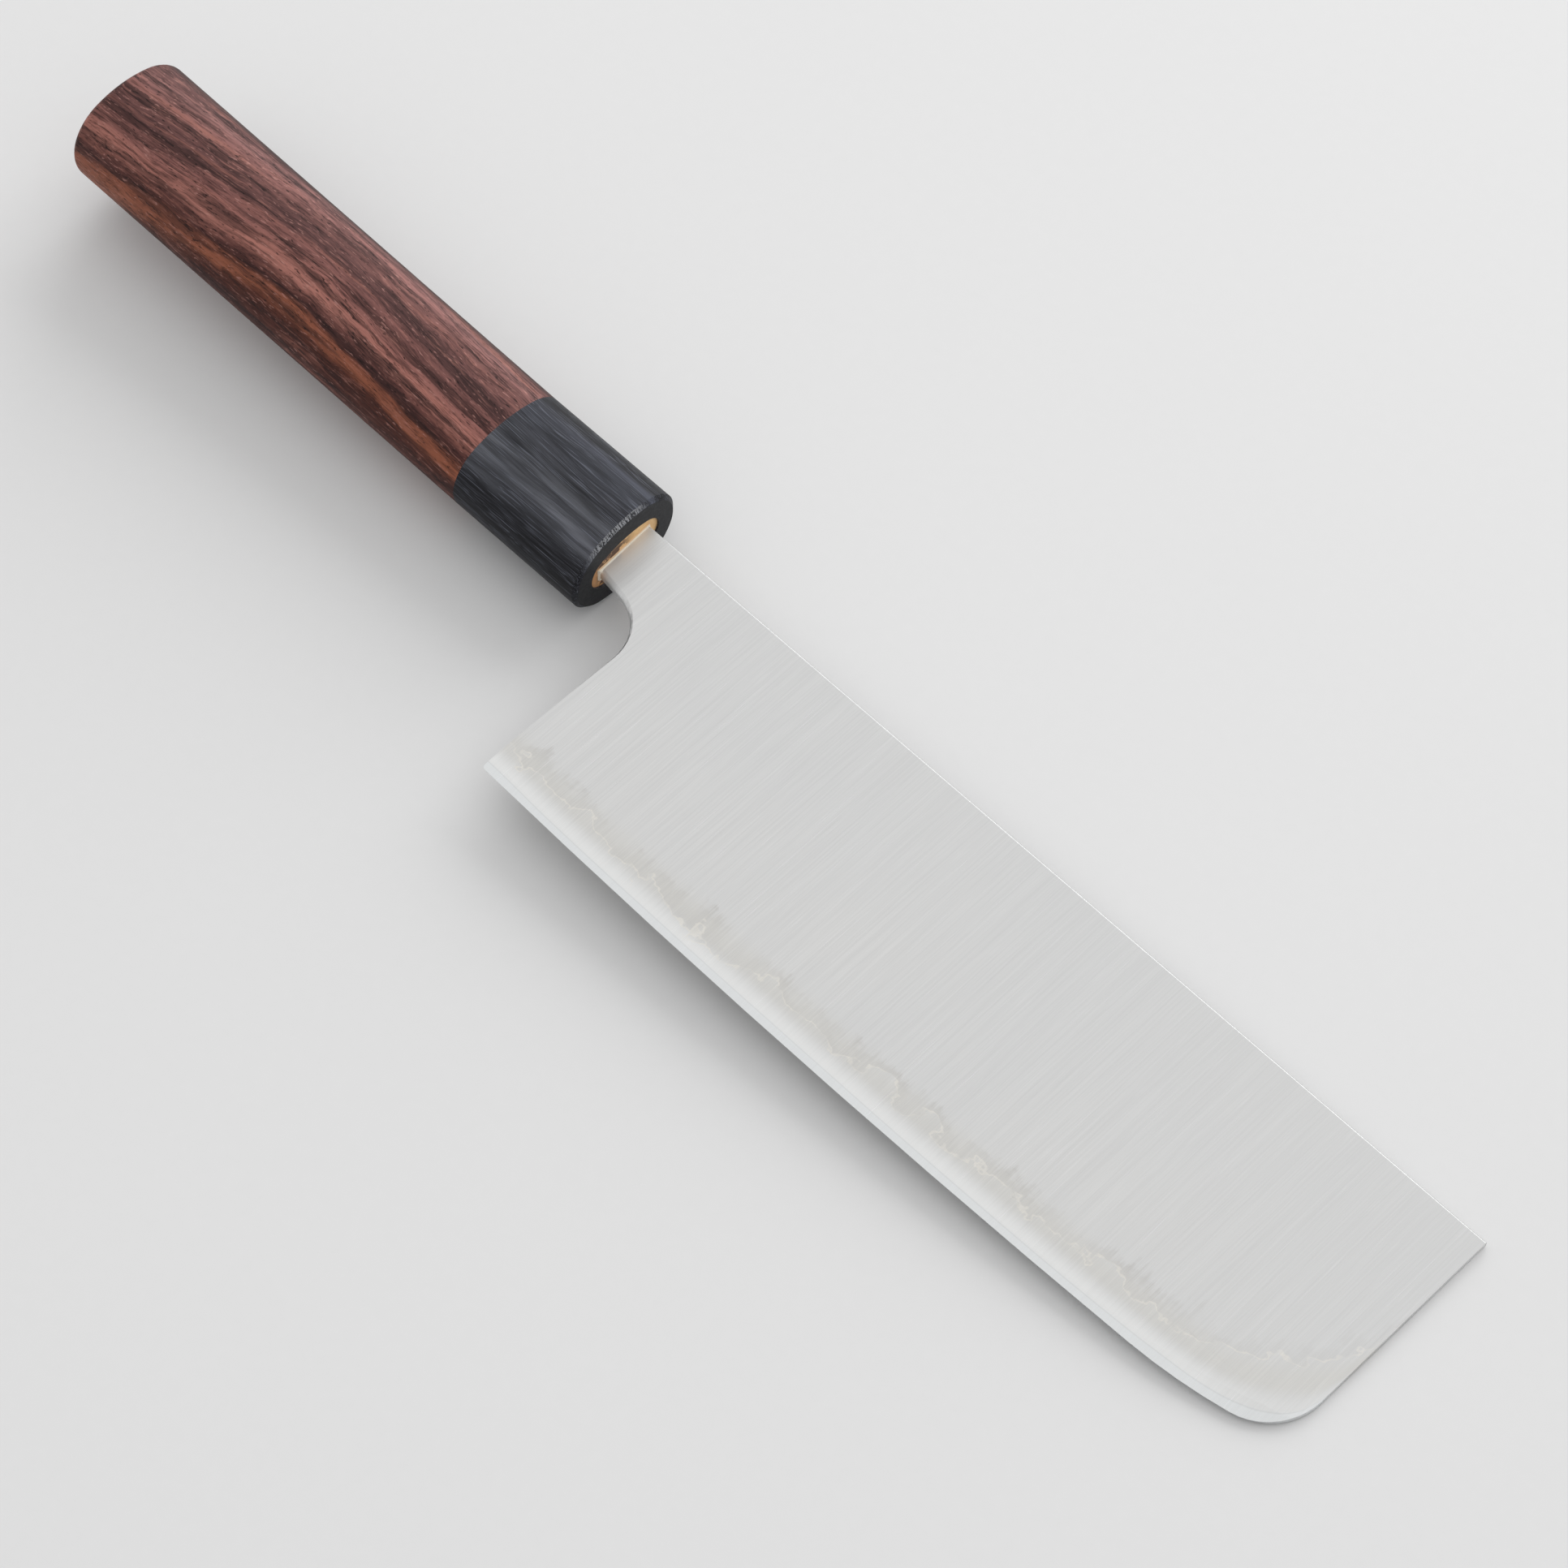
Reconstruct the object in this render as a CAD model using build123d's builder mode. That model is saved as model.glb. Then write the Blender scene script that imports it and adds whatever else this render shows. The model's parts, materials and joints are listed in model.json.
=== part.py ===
from build123d import *
from math import cos, pi, radians, sin, tan
import os

os.makedirs("parts", exist_ok=True)

# Blade outline, seen from its right side
blade_length = 165.0
blade_height = 49.9
belly_drop = 1.1            # the edge hangs this far below the heel's corner
belly_share = 0.397         # of the length, from the heel to the lowest point of the edge
long_share = 0.8364         # of the length, from the heel to where the edge turns up
long_run_rise = 0.25
front_rise = 4.9            # height at which the upturn meets the front
front_lean = 0.6            # the foot of the front stands back by this
front_corner_radius = 11.0
heel_corner_radius = 0.6
heel_lean = 0.3             # the heel's corner stands out past the choil by this
choil_radius = 9.0
neck_length = 12.9          # from the heel to the mouth of the handle
neck_height = 11.7          # where the neck enters the dowel
neck_root_height = 13.6     # where the neck's underside meets the heel's line

# Blade section, from the spine down to the edge
neck_spine_thickness = 3.0
tip_spine_thickness = 1.4
shoulder_height = 8.0       # above the lowest point of the edge
shoulder_thickness = 1.04
foot_height = 3.0
foot_thickness = 0.64
shoulder_crown = 0.03       # bulge of the ground face between shoulder and foot
apex_thickness = 0.27
core_thickness = 1.05
edge_land = 0.1
honing_angle = 8.0
honing_reach = 5.0
spine_easing = 0.3
choil_rounding = 1.0
choil_square_half = 0.25    # half thickness of the choil that stays square
choil_bite = 0.05

# Tang
tang_length = 88.0
tang_end_height = 6.0
tang_end_thickness = 2.0
slot_clearance = 0.3
slot_end_clearance = 3.0

# Handle, a straight oval ferrule and a barrel that grows from it to the butt
ferrule_length = 27.85
barrel_length = 95.5
ferrule_height = 24.1
ferrule_thickness = 17.9
butt_height = 24.7
butt_thickness = 19.9
axis_below_spine = 5.8      # along the ferrule
axis_rise = 1.1             # from the ferrule to the butt
front_slant = 3.0           # degrees by which the ferrule's front leans back towards the spine
side_arc = 36.0             # degrees that each flat side of the oval turns through
ferrule_chamfer = 0.7
butt_rounding = 1.5
rim_flats = 6               # that make up the rounding of the butt's rim

# Dowel that joins ferrule and barrel, and the sealant round the neck
dowel_height = 15.9
dowel_thickness = 9.0
dowel_inset = 0.4           # its end stands back from the ferrule's face
dowel_seat = 22.0           # its length inside the barrel
seal_depth = 12.0
bead_length = 0.4
bead_width = 0.3
bead_tip_width = 0.08

overrun = 2.0               # cuts run past the surface by this

# Places along the knife, from butt to tip, with the middle of its length at zero
overall_length = barrel_length + ferrule_length + neck_length + blade_length
tip_x = overall_length / 2
heel_x = tip_x - blade_length
mouth_x = heel_x - neck_length
joint_x = mouth_x - ferrule_length
butt_x = joint_x - barrel_length
liner_x = mouth_x - dowel_inset
tang_end_x = liner_x - tang_length
dowel_end_x = joint_x - dowel_seat

# Places across the knife, from the edge up to the handle's back
back_above_spine = butt_height / 2 - axis_below_spine + axis_rise
overall_height = back_above_spine + blade_height + belly_drop
spine_y = overall_height / 2 - back_above_spine
ferrule_axis_y = spine_y - axis_below_spine
butt_axis_y = ferrule_axis_y + axis_rise
rim_x = butt_x + butt_rounding
tang_end_y = ferrule_axis_y + axis_rise * (joint_x - tang_end_x) / (joint_x - rim_x)
heel_y = spine_y - blade_height
belly_y = heel_y - belly_drop
shoulder_y = belly_y + shoulder_height
foot_y = belly_y + foot_height
neck_foot_y = spine_y - neck_height
neck_mid_y = spine_y - neck_height / 2


def face_half(x, y):
    """Half thickness of the blade above its shoulder, thinning towards the tip and the edge."""
    along = (x - liner_x) / (tip_x - liner_x)
    spine_half = (neck_spine_thickness + (tip_spine_thickness - neck_spine_thickness) * along) / 2
    up = (y - shoulder_y) / (spine_y - shoulder_y)
    return shoulder_thickness / 2 + (spine_half - shoulder_thickness / 2) * up


def wedge_section(x):
    """Closed section of the blade across its length, with the convex ground faces."""
    top_y = spine_y + overrun
    low_y = belly_y - overrun
    crown_y = (shoulder_y + foot_y) / 2
    crown_half = (shoulder_thickness + foot_thickness) / 4 + shoulder_crown
    with BuildSketch(Plane.YZ.offset(x)) as section:
        with BuildLine():
            for side in (1, -1):
                top = (top_y, side * face_half(x, top_y))
                shoulder = (shoulder_y, side * shoulder_thickness / 2)
                crown = (crown_y, side * crown_half)
                foot = (foot_y, side * foot_thickness / 2)
                apex = (belly_y, side * apex_thickness / 2)
                low = (low_y, side * apex_thickness / 2)
                Line(top, shoulder)
                ThreePointArc(shoulder, crown, foot)
                Polyline(foot, apex, low)
                Line(low, (low_y, 0))
                Line(top, (top_y, 0))
        make_face()
    return section.sketch


def slanted_plane(x, middle_y, slant):
    """Plane across the knife whose upper side leans back towards the butt."""
    lean = tan(radians(slant))
    return Plane(origin=(x, middle_y, 0), x_dir=(-lean, 1, 0), z_dir=(1, lean, 0))


def tang_section(x, grow, slant=0):
    """Section of the tang across its length, grown on every side for the slot that it fills."""
    along = (liner_x - x) / tang_length
    middle_y = neck_mid_y + (tang_end_y - neck_mid_y) * along
    half_height = (neck_height + (tang_end_height - neck_height) * along) / 2 + grow
    top_half = face_half(liner_x, spine_y)
    foot_half = face_half(liner_x, neck_foot_y)
    top_half = top_half + (tang_end_thickness / 2 - top_half) * along + grow
    foot_half = foot_half + (tang_end_thickness / 2 - foot_half) * along + grow
    with BuildSketch(slanted_plane(x, middle_y, slant)) as section:
        with BuildLine():
            Polyline(
                (half_height, top_half),
                (-half_height, foot_half),
                (-half_height, -foot_half),
                (half_height, -top_half),
                close=True,
            )
        make_face()
    return section.sketch


def oval_section(x, middle_y, height, thickness):
    """Four-arc oval: nearly flat sides, round back and belly."""
    half_height = height / 2
    half_thickness = thickness / 2
    half_turn = radians(side_arc / 2)
    quarter = tan(half_turn / 2)
    end_radius = (half_thickness - half_height * quarter) / (1 - quarter)
    join_y = half_height - end_radius + end_radius * sin(half_turn)
    join_z = end_radius * cos(half_turn)
    with BuildSketch(slanted_plane(x, middle_y, 0)) as section:
        with BuildLine():
            ThreePointArc((join_y, join_z), (half_height, 0), (join_y, -join_z))
            ThreePointArc((join_y, -join_z), (0, -half_thickness), (-join_y, -join_z))
            ThreePointArc((-join_y, -join_z), (-half_height, 0), (-join_y, join_z))
            ThreePointArc((-join_y, join_z), (0, half_thickness), (join_y, join_z))
        make_face()
    return section.sketch


def rim_section(step):
    """Oval of the butt's rim, smaller at each flat from the barrel's side to its end."""
    turn = step * pi / (2 * rim_flats)
    inset = butt_rounding * (1 - cos(turn))
    x = rim_x - butt_rounding * sin(turn)
    return oval_section(x, butt_axis_y, butt_height - 2 * inset, butt_thickness - 2 * inset)


# Forged blade with its tang, before it is told apart into its three layers of steel
heel = (heel_x, heel_y)
belly = (heel_x + blade_length * belly_share, belly_y)
turn = (heel_x + blade_length * long_share, heel_y + long_run_rise)
front_foot = (tip_x - front_lean, heel_y + front_rise)
tip = (tip_x, spine_y)
neck_top = (liner_x, spine_y)
neck_foot = (liner_x, neck_foot_y)
choil_corner = (heel_x + heel_lean, spine_y - neck_root_height)

with BuildPart() as blade:
    loft(sections=[wedge_section(liner_x), wedge_section(tip_x + overrun)], ruled=True)
    with BuildSketch() as outline:
        with BuildLine():
            long_edge = ThreePointArc(heel, belly, turn)
            TangentArc(turn, front_foot, tangent=long_edge % 1)
            Polyline(front_foot, tip, neck_top, neck_foot)
            FilletPolyline(neck_foot, choil_corner, heel, radius=choil_radius)
        make_face()
        fillet(outline.vertices().sort_by_distance(front_foot)[0], radius=front_corner_radius)
        fillet(outline.vertices().sort_by_distance(heel)[0], radius=heel_corner_radius)
    extrude(amount=butt_thickness, both=True, mode=Mode.INTERSECT)

    # The honed edge runs along the edge's curve and dies out where the front's corner leaves it
    with BuildLine() as honing_path:
        honed = ThreePointArc(heel, belly, turn)
        upturn = TangentArc(turn, front_foot, tangent=honed % 1)
        Line(honed @ 0 - (honed % 0) * overrun, honed @ 0)
        Line(upturn @ 1, upturn @ 1 + (upturn % 1) * overrun)
    honing_start = honed @ 0 - (honed % 0) * overrun
    honing_plane = Plane(honing_start, x_dir=Vector(0, 0, 1).cross(honed % 0), z_dir=honed % 0)
    honing_rise = honing_reach * tan(radians(honing_angle))
    for side in (1, -1):
        with BuildSketch(honing_plane):
            with BuildLine():
                Polyline(
                    (0, side * edge_land / 2),
                    (honing_reach, side * (edge_land / 2 + honing_rise)),
                    (-overrun, side * (edge_land / 2 + honing_rise)),
                    (-overrun, side * edge_land / 2),
                    close=True,
                )
            make_face()
        sweep(path=honing_path.wire(), mode=Mode.SUBTRACT)

    # Choil and neck are rounded over, and the rounding fades as the blade thins towards the heel
    with BuildLine() as choil_path:
        below_heel = Vector(heel) + (Vector(heel) - Vector(choil_corner)).normalized() * overrun
        choil = FilletPolyline(neck_foot, choil_corner, below_heel, radius=choil_radius)
    choil_plane = Plane(choil @ 0, x_dir=Vector(0, 0, 1).cross(choil % 0), z_dir=choil % 0)
    deep = choil_rounding - choil_bite
    high = choil_square_half + choil_rounding
    for side in (1, -1):
        with BuildSketch(choil_plane):
            with BuildLine():
                Polyline(
                    (deep, side * high),
                    (-overrun, side * high),
                    (-overrun, side * choil_square_half),
                    (-choil_bite, side * choil_square_half),
                )
                RadiusArc(
                    (-choil_bite, side * choil_square_half),
                    (deep, side * high),
                    side * choil_rounding,
                )
            make_face()
        sweep(path=choil_path.wire(), mode=Mode.SUBTRACT)

    # Eased corners along the spine, then the tang that narrows into the handle
    spine_corners = blade.edges().group_by(Axis.Y)[-1].sort_by(SortBy.LENGTH)[-2:]
    fillet(spine_corners, radius=spine_easing)
    loft(sections=[tang_section(liner_x, 0), tang_section(tang_end_x, 0)], ruled=True)

# Hard steel core: it carries the edge, and lies open below the two claddings
with BuildPart() as blade_core:
    add(blade.part)
    split(bisect_by=Plane.XY.offset(core_thickness / 2), keep=Keep.BOTTOM)
    split(bisect_by=Plane.XY.offset(-core_thickness / 2), keep=Keep.TOP)
blade_core.part.label = "blade_core"
export_step(blade_core.part, "parts/blade_core.step")

# Soft steel cladding on the right face
with BuildPart() as right_cladding:
    add(blade.part)
    split(bisect_by=Plane.XY.offset(core_thickness / 2), keep=Keep.TOP)
right_cladding.part.label = "right_cladding"
export_step(right_cladding.part, "parts/right_cladding.step")

# Soft steel cladding on the left face
with BuildPart() as left_cladding:
    add(blade.part)
    split(bisect_by=Plane.XY.offset(-core_thickness / 2), keep=Keep.BOTTOM)
left_cladding.part.label = "left_cladding"
export_step(left_cladding.part, "parts/left_cladding.step")

# Sealant that fills the slot's mouth round the tang and stands as a bead round the neck
liner_face = slanted_plane(liner_x, neck_mid_y, front_slant)
with BuildPart() as tang_sealant:
    loft(
        sections=[
            tang_section(liner_x - seal_depth, slot_clearance),
            tang_section(liner_x + overrun, slot_clearance),
        ],
        ruled=True,
    )
    split(bisect_by=liner_face, keep=Keep.BOTTOM)
    loft(
        sections=[
            tang_section(liner_x, bead_width, front_slant),
            tang_section(liner_x + bead_length, bead_tip_width, front_slant),
        ],
        ruled=True,
    )
    add(blade.part, mode=Mode.SUBTRACT)
tang_sealant.part.label = "tang_sealant"
export_step(tang_sealant.part, "parts/tang_sealant.step")

# Pale wooden dowel, slotted for the tang, that joins the ferrule to the barrel
bore_start_x = mouth_x + overrun
bore_outline = oval_section(bore_start_x, neck_mid_y, dowel_height, dowel_thickness)
with BuildPart() as core_dowel:
    extrude(bore_outline, amount=dowel_end_x - bore_start_x)
    split(bisect_by=liner_face, keep=Keep.BOTTOM)
    loft(
        sections=[
            tang_section(liner_x + overrun, slot_clearance),
            tang_section(dowel_end_x - overrun, slot_clearance),
        ],
        ruled=True,
        mode=Mode.SUBTRACT,
    )
core_dowel.part.label = "core_dowel"
export_step(core_dowel.part, "parts/core_dowel.step")

# Black ferrule, its slanted front bevelled all round, bored for the dowel
ferrule_outline = oval_section(joint_x, ferrule_axis_y, ferrule_height, ferrule_thickness)
with BuildPart() as ferrule:
    extrude(ferrule_outline, amount=ferrule_length + overrun)
    split(bisect_by=slanted_plane(mouth_x, neck_mid_y, front_slant), keep=Keep.BOTTOM)
    chamfer(ferrule.faces().sort_by(Axis.X)[-1].edges(), length=ferrule_chamfer)
    extrude(bore_outline, amount=dowel_end_x - bore_start_x, mode=Mode.SUBTRACT)
ferrule.part.label = "ferrule"
export_step(ferrule.part, "parts/ferrule.step")

# Rosewood barrel with a rounded butt, a seat for the dowel and a deeper slot for the tang
with BuildPart() as handle_barrel:
    rim = [rim_section(step) for step in range(rim_flats, -1, -1)]
    loft(sections=[*rim, ferrule_outline], ruled=True)
    extrude(bore_outline, amount=dowel_end_x - bore_start_x, mode=Mode.SUBTRACT)
    loft(
        sections=[
            tang_section(joint_x, slot_clearance),
            tang_section(tang_end_x - slot_end_clearance, slot_clearance),
        ],
        ruled=True,
        mode=Mode.SUBTRACT,
    )
handle_barrel.part.label = "handle_barrel"
export_step(handle_barrel.part, "parts/handle_barrel.step")
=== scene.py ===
import json
from math import atan2, radians, tan

import bpy
from mathutils import Matrix, Quaternion, Vector

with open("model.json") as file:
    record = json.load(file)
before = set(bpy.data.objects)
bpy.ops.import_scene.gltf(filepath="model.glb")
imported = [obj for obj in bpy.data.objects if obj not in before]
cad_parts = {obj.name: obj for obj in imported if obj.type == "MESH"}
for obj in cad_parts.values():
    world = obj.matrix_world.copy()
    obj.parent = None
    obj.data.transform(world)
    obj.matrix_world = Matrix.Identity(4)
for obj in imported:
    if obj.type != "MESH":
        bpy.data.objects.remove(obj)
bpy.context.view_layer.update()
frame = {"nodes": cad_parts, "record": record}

scene = bpy.context.scene
nodes = frame["nodes"]
MM = 0.001


def side(name, axis, pick):
    """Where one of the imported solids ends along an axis, in millimetres."""
    return pick(corner[axis] for corner in nodes[name].bound_box) / MM


def add_node(tree, kind, **settings):
    made = tree.nodes.new(kind)
    for key, value in settings.items():
        setattr(made, key, value)
    return made


# Places on the knife, in millimetres of its own frame
TIP_X = side("blade_core", 0, max)
SPINE_Y = side("blade_core", 1, max)
JOINT_X = side("ferrule", 0, min)
BUTT_X = side("handle_barrel", 0, min)
HEEL_X = -14.4
NECK_X = -30.0                          # just inside the handle
MOUTH_X, MOUTH_Y = -27.275, 15.8        # on the ferrule's slanted front, at mid height of the neck
FRONT_SLANT = 3.0                       # degrees
CHAMFER = 0.7

# The camera stands on the edge's side of the knife and looks down on the blade's right face
CAMERA_PLACE = Vector((0.27457, -0.27064, 0.63884))
CAMERA_AIM = Vector((0.02111, 0.00344, 0.0))
CAMERA_ROLL = 2.32
CAMERA_LENS = 108.07

camera = bpy.data.objects.new("camera", bpy.data.cameras.new("camera"))
scene.collection.objects.link(camera)
camera.data.sensor_width = 36
camera.data.lens = CAMERA_LENS
camera.data.clip_start = 0.01
camera.data.clip_end = 50
camera.location = CAMERA_PLACE
camera.rotation_mode = "QUATERNION"
aim = (CAMERA_AIM - CAMERA_PLACE).to_track_quat("-Z", "Y")
camera.rotation_quaternion = aim @ Quaternion((0, 0, 1), radians(CAMERA_ROLL))
scene.camera = camera
scene.view_settings.view_transform = "Standard"


class Shader:
    """Short calls for one material's nodes, with lengths in millimetres of the part's own frame."""

    def __init__(self, name):
        self.material = bpy.data.materials.new(name)
        self.material.use_nodes = True
        self.tree = self.material.node_tree
        self.tree.nodes.clear()
        self.bsdf = self.node("ShaderNodeBsdfPrincipled")
        out = self.node("ShaderNodeOutputMaterial")
        self.tree.links.new(self.bsdf.outputs[0], out.inputs[0])
        place = self.node("ShaderNodeTexCoord").outputs["Object"]
        self.place = self.scaled(place, (1 / MM, 1 / MM, 1 / MM))
        split = self.node("ShaderNodeSeparateXYZ")
        self.put(split.inputs[0], self.place)
        self.x, self.y, self.z = split.outputs

    def node(self, kind, **settings):
        return add_node(self.tree, kind, **settings)

    def put(self, socket, value):
        if isinstance(value, bpy.types.NodeSocket):
            self.tree.links.new(value, socket)
        else:
            socket.default_value = value

    def math(self, operation, a, b=0.0, c=0.0):
        n = self.node("ShaderNodeMath", operation=operation)
        for socket, value in zip(n.inputs, (a, b, c)):
            self.put(socket, value)
        return n.outputs[0]

    def times(self, first, *others):
        for other in others:
            first = self.math("MULTIPLY", first, other)
        return first

    def scaled(self, place, factors):
        n = self.node("ShaderNodeVectorMath", operation="MULTIPLY")
        self.put(n.inputs[0], place)
        self.put(n.inputs[1], factors)
        return n.outputs[0]

    def join(self, x, y, z):
        n = self.node("ShaderNodeCombineXYZ")
        for socket, value in zip(n.inputs, (x, y, z)):
            self.put(socket, value)
        return n.outputs[0]

    def stretched(self, sx, sy, sz):
        return self.scaled(self.place, (sx, sy, sz))

    def along(self, across, sx, sy, sz):
        """Places for wood grain: along the handle, across its layers and through it."""
        return self.join(self.times(self.x, sx), self.times(across, sy), self.times(self.z, sz))

    def noise(self, place, detail=2.0, rough=0.5):
        n = self.node("ShaderNodeTexNoise")
        self.put(n.inputs["Vector"], place)
        self.put(n.inputs["Scale"], 1.0)
        self.put(n.inputs["Detail"], detail)
        self.put(n.inputs["Roughness"], rough)
        return n.outputs[0]

    def span(self, value, low, high, start=0.0, end=1.0, kind="LINEAR"):
        n = self.node("ShaderNodeMapRange", interpolation_type=kind)
        for socket, v in zip(n.inputs, (value, low, high, start, end)):
            self.put(socket, v)
        return n.outputs[0]

    def fade(self, value, low, high, start=0.0, end=1.0):
        return self.span(value, low, high, start, end, "SMOOTHSTEP")

    def band(self, value, middle, inner, outer):
        """One near the middle value, and zero farther from it than outer."""
        distance = self.math("ABSOLUTE", self.math("SUBTRACT", value, middle))
        return self.fade(distance, inner, outer, 1.0, 0.0)

    def ramp(self, value, stops):
        """Colours at their shares of the way, eased from one to the next."""
        n = self.node("ShaderNodeValToRGB")
        n.color_ramp.interpolation = "EASE"
        while len(n.color_ramp.elements) < len(stops):
            n.color_ramp.elements.new(0.5)
        for element, (at, colour) in zip(n.color_ramp.elements, stops):
            element.position = at
            element.color = (*colour, 1)
        self.put(n.inputs[0], value)
        return n.outputs[0]

    def curve(self, value, points):
        """Smooth curve through a few (in, out) points, both in millimetres."""
        low_x, high_x = points[0][0], points[-1][0]
        low_y, high_y = min(p[1] for p in points), max(p[1] for p in points)
        n = self.node("ShaderNodeFloatCurve")
        line = n.mapping.curves[0]
        while len(line.points) < len(points):
            line.points.new(0.5, 0.5)
        for point, (a, b) in zip(line.points, points):
            point.location = ((a - low_x) / (high_x - low_x), (b - low_y) / (high_y - low_y))
        n.mapping.update()
        self.put(n.inputs["Value"], self.span(value, low_x, high_x))
        return self.math("MULTIPLY_ADD", n.outputs[0], high_y - low_y, low_y)

    def mix(self, factor, a, b):
        n = self.node("ShaderNodeMix", data_type="RGBA")
        self.put(n.inputs["Factor"], factor)
        for socket, value in ((n.inputs[6], a), (n.inputs[7], b)):
            self.put(socket, (*value, 1) if isinstance(value, tuple) else value)
        return n.outputs[2]

    def bump(self, height, distance, strength=1.0, below=None):
        n = self.node("ShaderNodeBump")
        self.put(n.inputs["Height"], height)
        self.put(n.inputs["Distance"], distance * MM)
        self.put(n.inputs["Strength"], strength)
        if below is not None:
            self.put(n.inputs["Normal"], below)
        return n.outputs[0]

    def finish(self, colour=None, roughness=None, normal=None, **plain):
        for name, value in (("Base Color", colour), ("Roughness", roughness), ("Normal", normal)):
            if value is not None:
                self.put(self.bsdf.inputs[name], value)
        for name, value in plain.items():
            self.bsdf.inputs[name.replace("_", " ")].default_value = value
        return self.material


def steel(name):
    """Satin steel, ground from spine to edge. The bands follow the height above the cutting edge."""
    s = Shader(name)
    spine_edge, spine_top = SPINE_Y - 0.375, SPINE_Y - 0.175
    # Height above the cutting edge, squeezed towards the front where the edge turns up
    edge = s.curve(s.x, [
        (NECK_X, -28.2), (HEEL_X, -28.2), (0, -28.8), (24.7, -29.2), (48.7, -29.3), (96, -28.9),
        (119, -28.1), (129, -27.4), (137, -26.5), (142, -25.4), (146, -23.6), (148.5, -21.2),
        (150, -16.9), (TIP_X, -12.4)])
    lean = s.fade(s.x, 132, 149, 1.0, 0.62)
    height = s.times(s.math("SUBTRACT", s.y, edge), lean)

    # Hairlines of the grinding, across the blade
    hair = s.noise(s.stretched(2.9, 0.050, 0.3), detail=3, rough=0.75)
    broad = s.noise(s.stretched(0.55, 0.012, 0.1), detail=2, rough=0.55)
    scratch = s.noise(s.stretched(1.9, 0.11, 0.2), detail=1, rough=0.5)
    cloud = s.noise(s.stretched(0.03, 0.03, 0.03), detail=2, rough=0.5)

    # Wavy line where the cladding ends, with small loops
    weld_mean = s.curve(s.x, [
        (NECK_X, 6.5), (HEEL_X, 6.2), (-4, 5.4), (10, 5.0), (32, 4.6), (60, 5.4), (90, 5.8),
        (112, 6.2), (128, 7.4), (138, 8.2), (145, 8.6), (151, 9.2)])
    wave = s.noise(s.stretched(0.125, 0.17, 0.05), detail=3.5, rough=0.60)
    wander = s.math("MULTIPLY_ADD", wave, 12.0, -6.0)
    weld = s.math("SUBTRACT", s.math("SUBTRACT", height, weld_mean), wander)
    line = s.band(weld, 0.0, 0.08, 0.30)
    line_noise = s.noise(s.stretched(0.45, 0.45, 0.45), detail=1)
    line = s.times(line, s.fade(line_noise, 0.32, 0.58, 0.2, 1.0))

    face = s.mix(cloud, (0.800, 0.806, 0.806), (0.838, 0.835, 0.822))
    # Painted light brightens the neck against the dark ferrule mirrored in it, and a painted reflection
    # of the wood browns it next to the handle
    neck = s.fade(s.x, -22.5, -26.5)
    colour = s.mix(s.fade(s.y, -15.0, 21.0, 0.0, 0.4), face, (0.790, 0.793, 0.790))
    colour = s.mix(neck, colour, (0.970, 0.966, 0.945))
    painted_wood_reflection = s.times(s.fade(s.x, -24.6, -27.0), s.fade(cloud, 0.30, 0.62, 0.4, 1.0))
    colour = s.mix(s.times(painted_wood_reflection, 0.22), colour, (0.700, 0.640, 0.560))
    # Greyish tufts above the line, in patches and dragged along the grinding
    patch = s.fade(s.noise(s.stretched(0.060, 0.0, 0.0), detail=2, rough=0.6), 0.36, 0.56, 0.25, 1.0)
    tuft = s.math("MULTIPLY_ADD", s.noise(s.stretched(1.3, 0.04, 0.1), detail=3, rough=0.7), 9.0, -1.2)
    fray = s.times(s.fade(weld, -0.3, 0.4), s.fade(s.math("SUBTRACT", tuft, weld), 0.0, 2.6))
    fray = s.times(fray, patch, s.fade(s.x, 112, 140, 1.0, 0.25))
    colour = s.mix(s.times(fray, 0.60), colour, (0.585, 0.566, 0.535))
    # Warm band below the line, then a painted highlight on the convex bevel that softens into the honed
    # edge
    warm_band = s.times(s.fade(height, 10.0, 5.8), s.fade(height, 2.4, 5.2))
    colour = s.mix(s.times(warm_band, 0.75), colour, (0.795, 0.784, 0.746))
    painted_bevel_highlight = s.times(s.fade(height, 5.0, 1.7), s.fade(s.x, 132, 148, 1.0, 0.45))
    colour = s.mix(painted_bevel_highlight, colour, (0.930, 0.934, 0.925))
    colour = s.mix(s.fade(height, 1.7, 1.0), colour, (0.895, 0.915, 0.920))
    hone_line = s.band(height, 1.30, 0.04, 0.16)
    colour = s.mix(s.times(hone_line, 0.16), colour, (0.450, 0.460, 0.470))
    colour = s.mix(s.times(line, 0.60), colour, (0.960, 0.925, 0.850))
    # The hairlines, fainter on the painted highlight band and the neck
    calm = s.times(s.span(painted_bevel_highlight, 0.0, 1.0, 1.0, 0.35), s.span(neck, 0.0, 1.0, 1.0, 0.3))
    dull = s.times(s.span(hair, 0.25, 0.75, 0.0, 0.32), calm)
    colour = s.mix(dull, colour, (0.480, 0.480, 0.482))
    streak = s.times(s.span(broad, 0.3, 0.7, 0.0, 0.09), calm)
    colour = s.mix(streak, colour, (0.560, 0.560, 0.565))
    colour = s.mix(s.fade(scratch, 0.64, 0.78, 0.0, 0.12), colour, (0.980, 0.980, 0.980))

    # Painted shade darkens the spine, which is also rougher than the faces
    spine = s.fade(s.y, spine_edge, spine_top)
    colour = s.mix(s.times(spine, 0.55), colour, (0.300, 0.302, 0.306))
    rough = s.math("ADD", s.span(hair, 0.25, 0.75, 0.26, 0.36), s.times(spine, 0.25))
    rough = s.math("ADD", rough, s.fade(s.x, -20.0, -26.0, 0.0, 0.18))
    normal = s.bump(hair, 0.004, 0.6)
    s.put(s.bsdf.inputs["Tangent"], s.join(1.0, 0.0, 0.0))
    return s.finish(colour, rough, normal, Metallic=1.0, Anisotropic=0.45)


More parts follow.
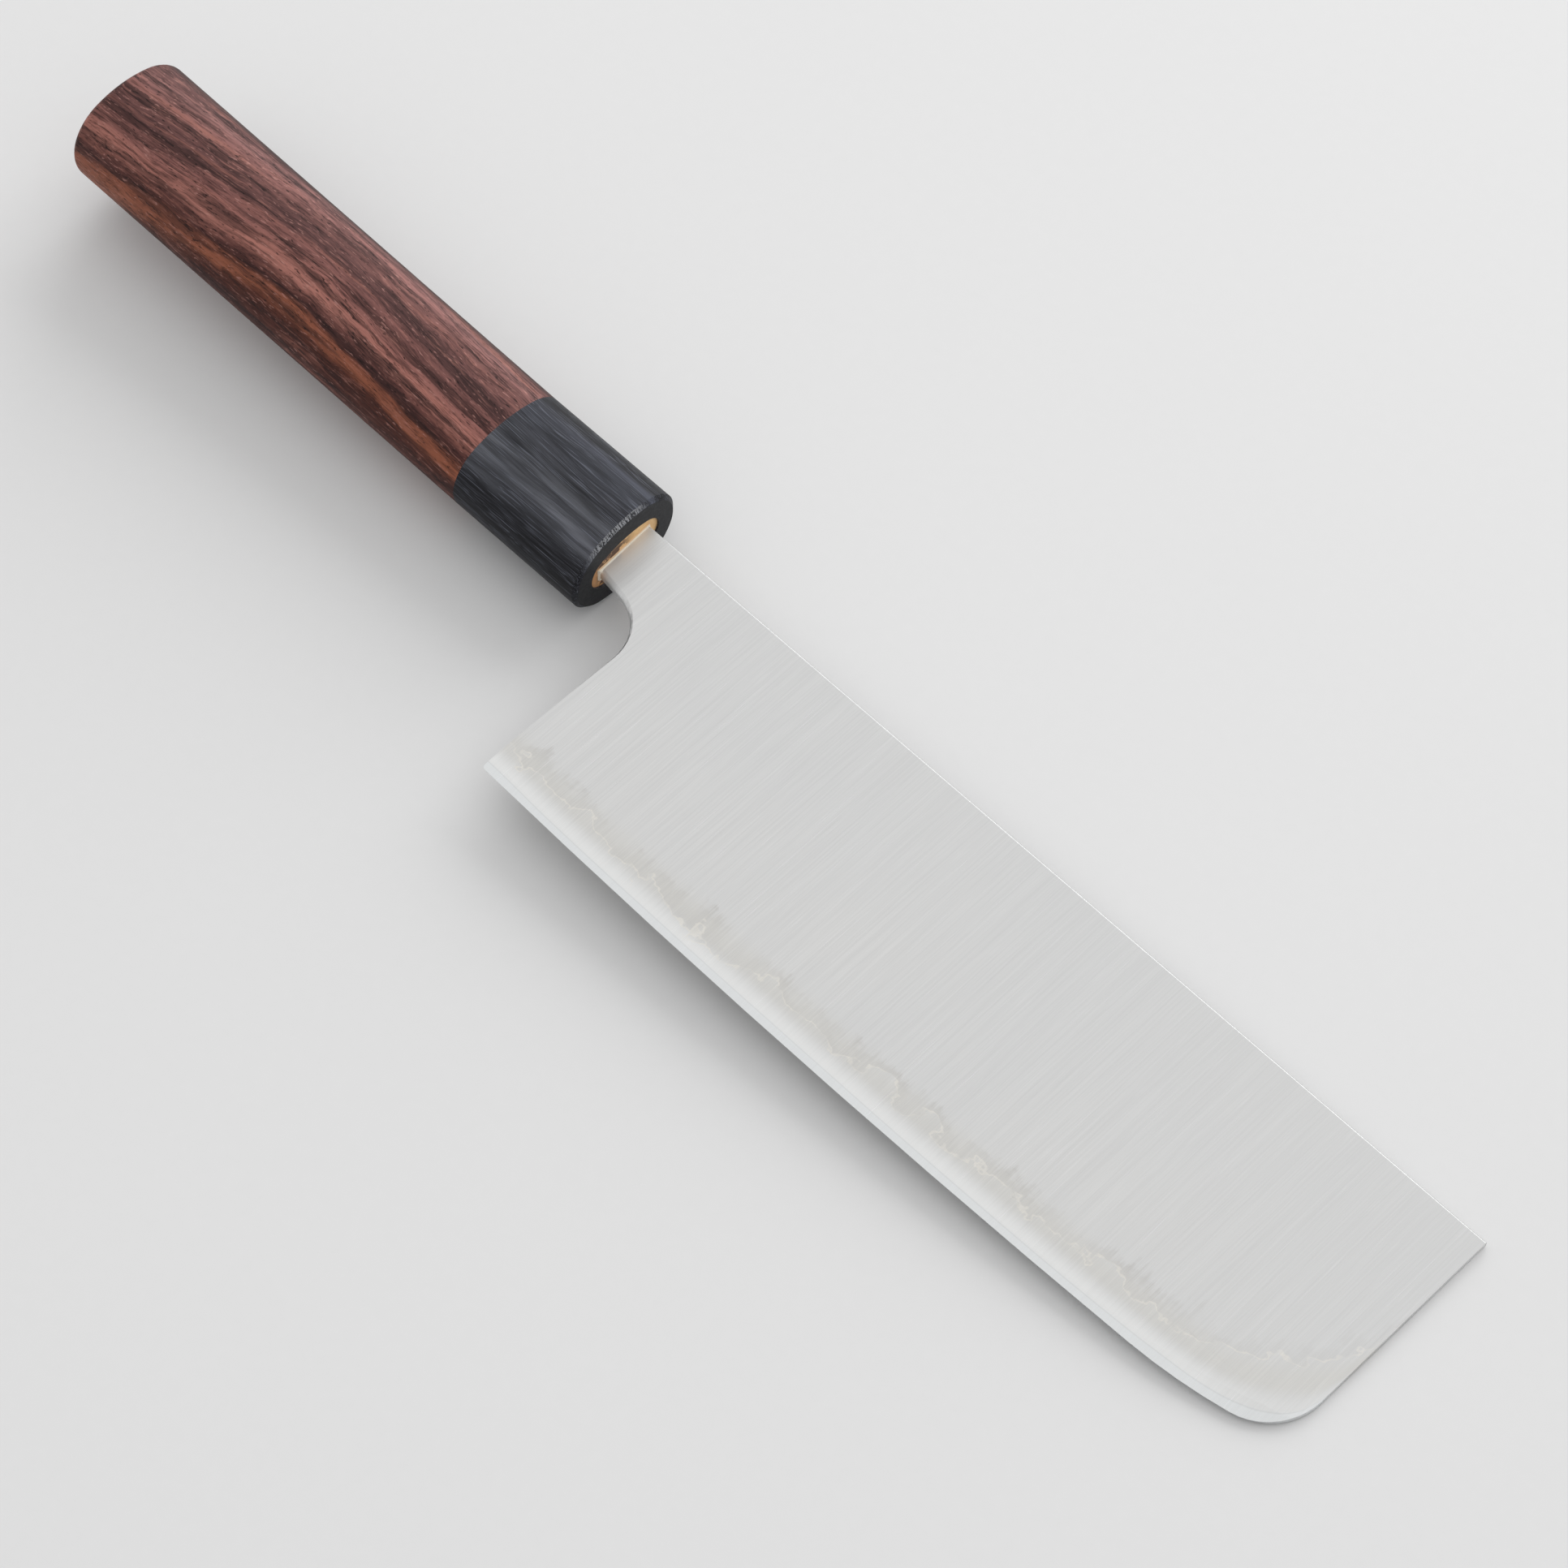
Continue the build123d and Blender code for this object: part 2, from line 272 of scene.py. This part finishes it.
def rosewood(name):
    """Oiled rosewood. Its layers lie along the barrel and bend towards the edge's side near the butt."""
    s = Shader(name)
    bend_x, bend_reach = -98.0, 16.0
    lowest_layer, highest_layer = 3.0, 31.0
    # Place across the layers, which bend near the butt, tilt along the barrel and wander a little
    drift = s.noise(s.stretched(0.020, 0.09, 0.09), detail=2, rough=0.5)
    ripple = s.noise(s.stretched(0.085, 0.22, 0.22), detail=3, rough=0.6)
    bend = s.math("SMOOTH_MIN", s.math("SUBTRACT", s.x, bend_x), 0.0, bend_reach)
    across = s.math("SUBTRACT", s.y, s.times(bend, 0.14))
    across = s.math("ADD", across, s.math("MULTIPLY_ADD", s.x, 0.061, 3.45))
    across = s.math("ADD", across, s.math("MULTIPLY_ADD", drift, 3.4, -1.7))
    across = s.math("ADD", across, s.math("MULTIPLY_ADD", ripple, 1.6, -0.8))
    across = s.math("ADD", across, s.times(s.z, 0.10))
    # The light stops at 0.700 and 0.760 are pinkish layers with a painted sheen along the spine's side
    bands = s.ramp(s.span(across, lowest_layer, highest_layer), [
        (0.000, (0.080, 0.026, 0.020)),
        (0.050, (0.100, 0.032, 0.022)),
        (0.075, (0.315, 0.106, 0.060)),
        (0.115, (0.305, 0.102, 0.060)),
        (0.150, (0.095, 0.036, 0.031)),
        (0.190, (0.135, 0.053, 0.046)),
        (0.230, (0.430, 0.180, 0.145)),
        (0.280, (0.415, 0.172, 0.140)),
        (0.340, (0.280, 0.118, 0.102)),
        (0.420, (0.215, 0.092, 0.082)),
        (0.480, (0.120, 0.054, 0.050)),
        (0.530, (0.135, 0.060, 0.056)),
        (0.600, (0.190, 0.082, 0.073)),
        (0.660, (0.255, 0.112, 0.100)),
        (0.700, (0.300, 0.136, 0.123)),
        (0.760, (0.280, 0.134, 0.124)),
        (0.820, (0.160, 0.071, 0.066)),
    ])

    # Soft broad figure, wavy dark threads that crowd in the dark layers, then fibres, flecks and pores
    broad = s.noise(s.along(across, 0.022, 0.55, 0.35), detail=3, rough=0.6)
    veins = s.noise(s.along(across, 0.040, 0.90, 0.7), detail=4, rough=0.62)
    fibre = s.noise(s.along(across, 0.15, 1.9, 1.7), detail=3, rough=0.70)
    dash = s.noise(s.along(across, 0.62, 3.3, 3.0), detail=2, rough=0.55)
    orange = s.times(s.fade(across, 4.6, 5.1), s.fade(across, 7.0, 6.3))
    plain = s.span(orange, 0.0, 1.0, 1.0, 0.80)
    colour = s.mix(s.fade(broad, 0.44, 0.30, 0.0, 0.50), bands, (0.370, 0.150, 0.115))
    shade = s.fade(broad, 0.46, 0.62)
    colour = s.mix(s.times(shade, plain, 0.72), colour, (0.042, 0.019, 0.018))
    thread = s.times(s.band(veins, 0.53, 0.004, 0.020), s.span(shade, 0.0, 1.0, 0.45, 0.90))
    colour = s.mix(thread, colour, (0.020, 0.010, 0.010))
    for noise, low, high, most, tone in (
            (veins, 0.58, 0.68, 0.70, (0.030, 0.014, 0.014)),
            (fibre, 0.48, 0.66, 0.58, (0.026, 0.012, 0.012)),
            (fibre, 0.45, 0.30, 0.38, (0.460, 0.205, 0.165))):
        colour = s.mix(s.times(s.fade(noise, low, high, 0.0, most), plain), colour, tone)
    colour = s.mix(s.fade(dash, 0.61, 0.72, 0.0, 0.45), colour, (0.560, 0.290, 0.250))
    pore = s.fade(dash, 0.38, 0.28)
    colour = s.mix(s.times(pore, 0.85), colour, (0.012, 0.006, 0.006))
    # Painted shade darkens the back of the oval
    axis_y = s.span(s.x, JOINT_X, BUTT_X, 15.9, 17.0)
    crest_painted_shade = s.fade(s.math("SUBTRACT", s.y, axis_y), 8.6, 10.8)
    colour = s.mix(s.times(crest_painted_shade, 0.78), colour, (0.030, 0.014, 0.014))

    rough = s.span(fibre, 0.3, 0.7, 0.46, 0.60)
    normal = s.bump(pore, -0.03, 0.5)
    normal = s.bump(fibre, 0.012, 0.5, normal)
    return s.finish(colour, rough, normal, Specular_IOR_Level=0.12)


def black_wood(name):
    """Resin-filled black laminate, with fine grey fibres, and end grain with a painted highlight on the
    ferrule's bevel.
    """
    s = Shader(name)
    lowest_layer, highest_layer = 4.0, 30.0
    # Place across the layers, which wander a little
    drift = s.noise(s.stretched(0.03, 0.2, 0.2), detail=2, rough=0.5)
    across = s.math("ADD", s.y, s.times(drift, 3.0))
    # The lighter stops at 0.23 to 0.34 and at 0.77 are painted sheen; the ramp is darker towards the
    # bottom and the back rim
    layers = s.ramp(s.span(across, lowest_layer, highest_layer), [
        (0.00, (0.006, 0.006, 0.007)),
        (0.13, (0.017, 0.017, 0.020)),
        (0.23, (0.152, 0.157, 0.180)),
        (0.34, (0.132, 0.136, 0.154)),
        (0.44, (0.070, 0.072, 0.081)),
        (0.56, (0.042, 0.043, 0.051)),
        (0.68, (0.040, 0.043, 0.054)),
        (0.77, (0.062, 0.066, 0.086)),
        (0.84, (0.012, 0.012, 0.014)),
    ])
    wide = s.noise(s.along(across, 0.035, 0.45, 0.45), detail=2, rough=0.5)
    fibre = s.noise(s.along(across, 0.09, 2.5, 2.5), detail=3, rough=0.70)
    thread = s.noise(s.along(across, 0.12, 6.5, 6.5), detail=2, rough=0.6)
    colour = s.mix(s.fade(wide, 0.40, 0.62, 0.65, 0.0), layers, (0.016, 0.016, 0.019))
    colour = s.mix(s.fade(fibre, 0.46, 0.64, 0.0, 0.16), colour, (0.125, 0.132, 0.158))
    colour = s.mix(s.fade(thread, 0.54, 0.68, 0.0, 0.42), colour, (0.210, 0.224, 0.275))
    colour = s.mix(s.fade(fibre, 0.44, 0.32, 0.0, 0.40), colour, (0.006, 0.006, 0.008))
    # Depth behind the slanted front: the face at zero, the bevel down to its chamfer
    leaning = s.times(s.math("SUBTRACT", s.y, MOUTH_Y), tan(radians(FRONT_SLANT)))
    front = s.math("ADD", s.math("SUBTRACT", s.x, MOUTH_X), leaning)
    bevel = s.times(s.fade(front, -CHAMFER - 0.06, -CHAMFER + 0.04), s.fade(front, -0.02, -0.06))
    # Painted highlight: the bevel's end grain is pale only on its upper part, where the light falls
    end_grain = s.noise(s.stretched(2.0, 4.0, 1.0), detail=3, rough=0.65)
    pale = s.mix(s.fade(end_grain, 0.42, 0.58), (0.040, 0.041, 0.045), (0.310, 0.316, 0.335))
    highlight_reach = s.times(s.fade(s.y, 7.0, 10.0), s.fade(s.y, 22.5, 17.5), s.fade(s.z, 0.0, 5.0))
    colour = s.mix(s.times(bevel, highlight_reach), colour, pale)
    face = s.fade(front, -0.05, -0.01)
    dots = s.noise(s.stretched(1.0, 1.2, 1.2), detail=3, rough=0.7)
    colour = s.mix(face, colour, s.mix(dots, (0.008, 0.008, 0.009), (0.036, 0.037, 0.041)))
    rough = s.span(fibre, 0.3, 0.7, 0.40, 0.52)
    normal = s.bump(fibre, 0.012, 0.5)
    return s.finish(colour, rough, normal, Specular_IOR_Level=0.10)


def pale_wood(name):
    """Bare pale wood, scorched where the hot tang was burnt in."""
    s = Shader(name)
    grain = s.noise(s.stretched(0.3, 1.8, 1.8), detail=4, rough=0.65)
    scorch = s.noise(s.stretched(0.8, 0.55, 0.55), detail=4, rough=0.7)
    near_tang = s.fade(s.math("ABSOLUTE", s.z), 4.4, 2.9)
    low_part = s.times(s.fade(s.y, 19.0, 14.5), s.fade(s.y, 8.9, 10.4))
    colour = s.mix(s.span(grain, 0.3, 0.7), (0.900, 0.600, 0.290), (0.790, 0.490, 0.220))
    rim = s.fade(s.y, 12.5, 8.5)
    colour = s.mix(s.times(rim, 0.6), colour, (0.600, 0.270, 0.085))
    warm = s.times(near_tang, s.fade(s.y, 20.0, 12.0), 0.30)
    colour = s.mix(warm, colour, (0.520, 0.220, 0.110))
    burnt = s.times(near_tang, low_part, s.fade(scorch, 0.40, 0.50), 0.95)
    colour = s.mix(burnt, colour, (0.070, 0.028, 0.018))
    normal = s.bump(grain, 0.06, 0.6)
    return s.finish(colour, 0.62, normal)


def sealant(name):
    """Cream adhesive, slightly uneven, its outer rim soaked to the colour of the wood."""
    s = Shader(name)
    lump = s.noise(s.stretched(0.9, 0.9, 0.9), detail=3, rough=0.6)
    colour = s.mix(lump, (0.900, 0.810, 0.640), (0.940, 0.900, 0.800))
    steel_half = s.span(s.y, 10.0, SPINE_Y, 1.23, 1.50)
    soaked = s.fade(s.math("SUBTRACT", s.math("ABSOLUTE", s.z), steel_half), 0.14, 0.24)
    colour = s.mix(s.times(soaked, 0.9), colour, (0.800, 0.520, 0.270))
    normal = s.bump(lump, 0.15, 0.6)
    return s.finish(colour, 0.5, normal)


materials = {
    "hard_steel": steel("hard_steel"),
    "clad_steel": steel("clad_steel"),
    "sealant": sealant("sealant"),
    "pale_wood": pale_wood("pale_wood"),
    "black_wood": black_wood("black_wood"),
    "rosewood": rosewood("rosewood"),
}
for row in frame["record"]["subparts"]:
    mesh = nodes[row["node"]].data
    mesh.materials.clear()
    mesh.materials.append(materials[row["material_slot"]])

# The floor passes under the two places that the lying knife rests on
FERRULE_REST = Vector((-0.0280, 0.0, -0.00895))
TIP_REST = Vector((0.15060, 0.0, -0.00070))
FLOOR_DROP = Vector((0, 0, -0.00002))
FLOOR_HALF = 6.0
slope = TIP_REST - FERRULE_REST
floor_mesh = bpy.data.meshes.new("floor")
corners = [(u * FLOOR_HALF, v * FLOOR_HALF, 0) for u, v in ((-1, -1), (1, -1), (1, 1), (-1, 1))]
floor_mesh.from_pydata(corners, [], [(0, 1, 2, 3)])
floor = bpy.data.objects.new("floor", floor_mesh)
scene.collection.objects.link(floor)
tilt = Matrix.Rotation(-atan2(slope.z, slope.x), 4, "Y")
floor.matrix_world = Matrix.Translation(FERRULE_REST + FLOOR_DROP) @ tilt
ground = Shader("floor")
grain = ground.noise(ground.stretched(0.4, 0.4, 0.4), detail=3)
paint = ground.mix(grain, (0.785, 0.785, 0.785), (0.800, 0.800, 0.800))
floor_mesh.materials.append(ground.finish(paint, 0.75, Specular_IOR_Level=0.25))

# Soft studio: the surround lights the object more from above and from the spine's side, and looks white
# wherever it is seen or mirrored. One large soft light stands on the spine's side.
BRIGHT_SIDE = Vector((-0.15, 0.45, 0.88)).normalized()
LEVELS = (-0.4, 0.7, 0.35, 1.06)        # two heights towards that side, and the strength at each
LAMP_PLACE = Vector((-0.25, 1.40, 0.66))
LAMP_SIZE = (1.8, 1.2)
LAMP_POWER = 15
world = bpy.data.worlds.new("studio")
scene.world = world
world.use_nodes = True
tree = world.node_tree
tree.nodes.clear()
background = add_node(tree, "ShaderNodeBackground")
tree.links.new(background.outputs[0], add_node(tree, "ShaderNodeOutputWorld").inputs[0])
toward = add_node(tree, "ShaderNodeVectorMath", operation="DOT_PRODUCT")
toward.inputs[1].default_value = BRIGHT_SIDE
tree.links.new(add_node(tree, "ShaderNodeTexCoord").outputs["Generated"], toward.inputs[0])
level = add_node(tree, "ShaderNodeMapRange")
for socket, value in zip(level.inputs[1:5], LEVELS):
    socket.default_value = value
tree.links.new(toward.outputs["Value"], level.inputs[0])
path = add_node(tree, "ShaderNodeLightPath")
seen = add_node(tree, "ShaderNodeMath", operation="ADD", use_clamp=True)
seen_or_mirrored = add_node(tree, "ShaderNodeMath", operation="ADD", use_clamp=True)
tree.links.new(path.outputs["Is Camera Ray"], seen.inputs[0])
tree.links.new(path.outputs["Is Glossy Ray"], seen.inputs[1])
tree.links.new(seen.outputs[0], seen_or_mirrored.inputs[0])
tree.links.new(path.outputs["Is Transmission Ray"], seen_or_mirrored.inputs[1])
white = add_node(tree, "ShaderNodeMix")
white.inputs[3].default_value = 1.0
tree.links.new(seen_or_mirrored.outputs[0], white.inputs[0])
tree.links.new(level.outputs[0], white.inputs[2])
tree.links.new(white.outputs[0], background.inputs["Strength"])

lamp = bpy.data.objects.new("key", bpy.data.lights.new("key", "AREA"))
lamp.data.shape = "RECTANGLE"
lamp.data.size, lamp.data.size_y = LAMP_SIZE
lamp.data.energy = LAMP_POWER
lamp.location = LAMP_PLACE
lamp.rotation_mode = "QUATERNION"
lamp.rotation_quaternion = (-LAMP_PLACE).to_track_quat("-Z", "Y")
scene.collection.objects.link(lamp)
